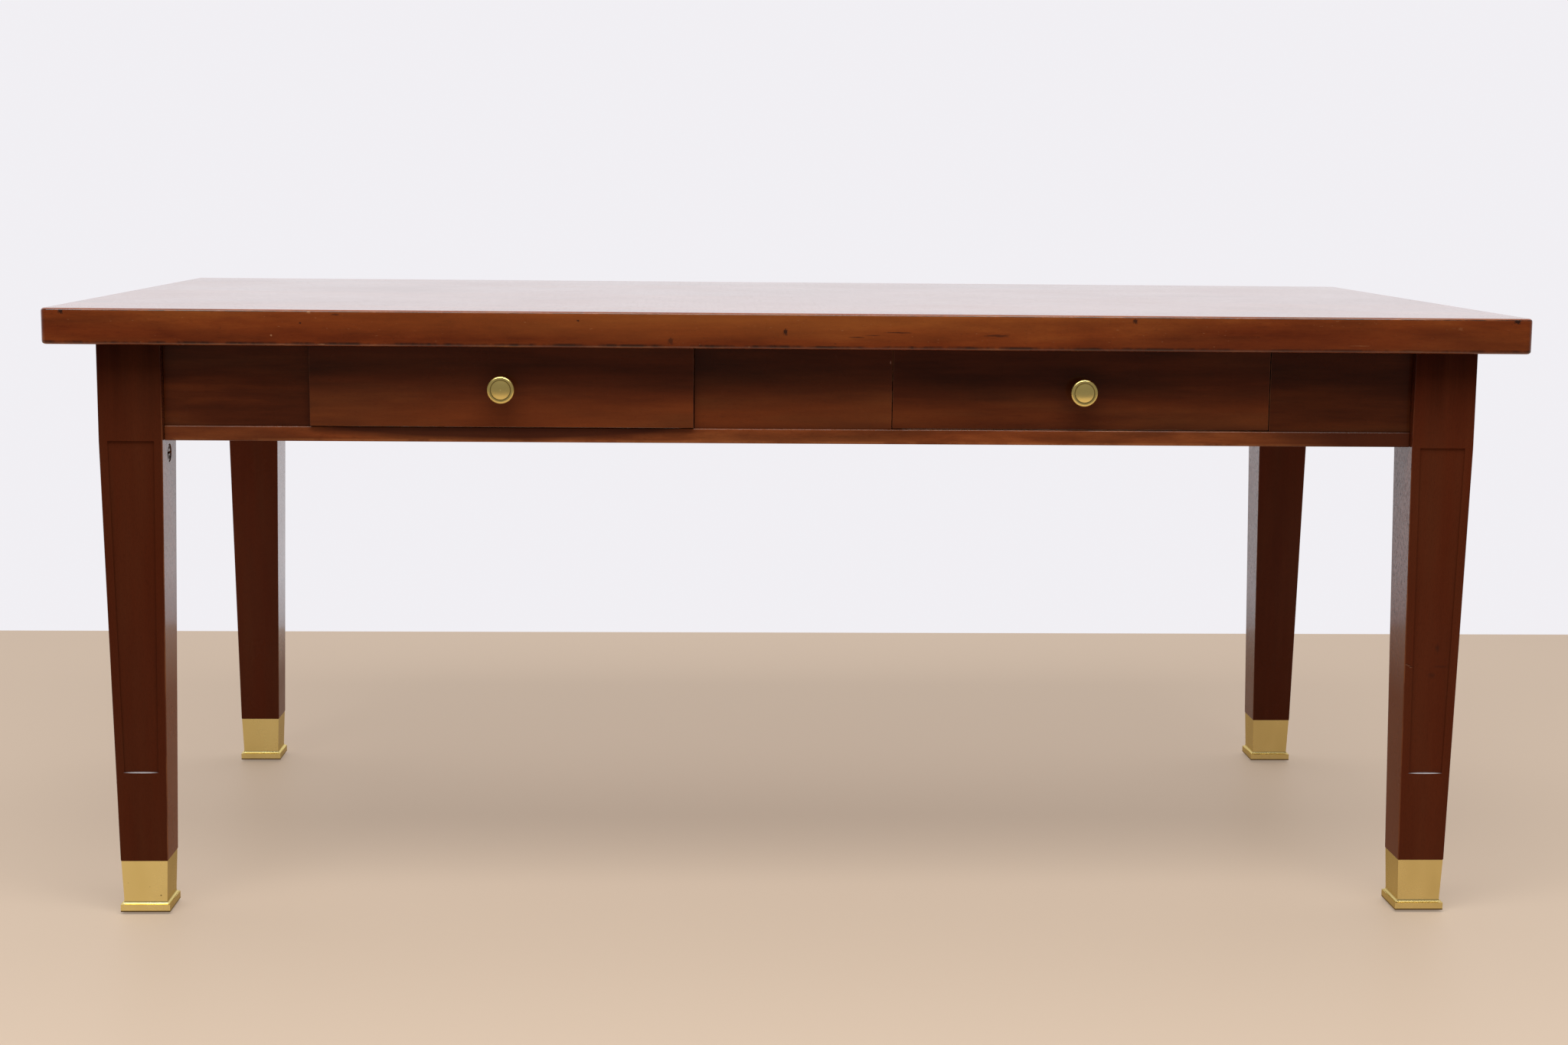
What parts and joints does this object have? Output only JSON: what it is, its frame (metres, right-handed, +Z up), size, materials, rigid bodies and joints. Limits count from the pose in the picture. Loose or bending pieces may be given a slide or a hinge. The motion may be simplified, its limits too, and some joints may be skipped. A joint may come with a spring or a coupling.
{
  "type": "partners desk",
  "caption": "Rectangular slab-topped partners desk on square tapered legs with brass sabots, with dovetailed sliding drawers in the aprons of both long sides.",
  "frame": {"origin": "on the floor under the middle of the top", "axes": "+X along the top, to the right as seen from the front side; +Y from the front side to the back side; +Z up"},
  "size_m": [1.829, 0.94, 0.768],
  "materials": {
    "top_mahogany": "glossy lacquer",
    "leg_mahogany": "glossy lacquer",
    "front_mahogany": "glossy lacquer",
    "core_wood": "stained underside",
    "carcase_wood": "bare timber",
    "drawer_wood": "bare timber, waxed",
    "brass": "polished, lightly tarnished",
    "steel": "dull"
  },
  "bodies": {
    "frame": {"top_veneer": "top_mahogany", "front_lipping": "top_mahogany", "back_lipping": "top_mahogany", "left_lipping": "top_mahogany", "right_lipping": "top_mahogany", "top_core": "core_wood", "front_left_leg": "leg_mahogany", "front_right_leg": "leg_mahogany", "back_left_leg": "leg_mahogany", "back_right_leg": "leg_mahogany", "front_left_sabot": "brass", "front_right_sabot": "brass", "back_left_sabot": "brass", "back_right_sabot": "brass", "front_bottom_rail": "front_mahogany", "back_bottom_rail": "front_mahogany", "left_end_apron": "front_mahogany", "right_end_apron": "front_mahogany", "front_left_panel": "front_mahogany", "front_centre_panel": "front_mahogany", "front_right_panel": "front_mahogany", "back_left_panel": "front_mahogany", "back_centre_panel": "front_mahogany", "back_right_panel": "front_mahogany", "front_upper_rail": "carcase_wood", "back_upper_rail": "carcase_wood", "left_kicker": "carcase_wood", "right_kicker": "carcase_wood", "left_outer_runner": "carcase_wood", "left_inner_runner": "carcase_wood", "right_inner_runner": "carcase_wood", "right_outer_runner": "carcase_wood", "floor_glides": "steel", "top_screws": "steel", "leg_bolt": "steel"},
    "front_left_drawer": {"front_left_drawer_front": "front_mahogany", "front_left_drawer_left_side": "drawer_wood", "front_left_drawer_right_side": "drawer_wood", "front_left_drawer_back": "drawer_wood", "front_left_drawer_bottom": "drawer_wood", "front_left_drawer_knob": "brass"},
    "front_right_drawer": {"front_right_drawer_front": "front_mahogany", "front_right_drawer_left_side": "drawer_wood", "front_right_drawer_right_side": "drawer_wood", "front_right_drawer_back": "drawer_wood", "front_right_drawer_bottom": "drawer_wood", "front_right_drawer_knob": "brass"},
    "back_left_drawer": {"back_left_drawer_front": "front_mahogany", "back_left_drawer_left_side": "drawer_wood", "back_left_drawer_right_side": "drawer_wood", "back_left_drawer_back": "drawer_wood", "back_left_drawer_bottom": "drawer_wood", "back_left_drawer_knob": "brass"},
    "back_right_drawer": {"back_right_drawer_front": "front_mahogany", "back_right_drawer_left_side": "drawer_wood", "back_right_drawer_right_side": "drawer_wood", "back_right_drawer_back": "drawer_wood", "back_right_drawer_bottom": "drawer_wood", "back_right_drawer_knob": "brass"}
  },
  "joints": [
    {"name": "front_left_drawer_slide", "type": "slide", "parent": "frame", "child": "front_left_drawer", "axis": [0, -1, 0], "range_m": [-0.008, 0.292]},
    {"name": "front_right_drawer_slide", "type": "slide", "parent": "frame", "child": "front_right_drawer", "axis": [0, -1, 0], "range_m": [0, 0.3]},
    {"name": "back_left_drawer_slide", "type": "slide", "parent": "frame", "child": "back_left_drawer", "axis": [0, 1, 0], "range_m": [0, 0.3]},
    {"name": "back_right_drawer_slide", "type": "slide", "parent": "frame", "child": "back_right_drawer", "axis": [0, 1, 0], "range_m": [0, 0.3]}
  ]
}
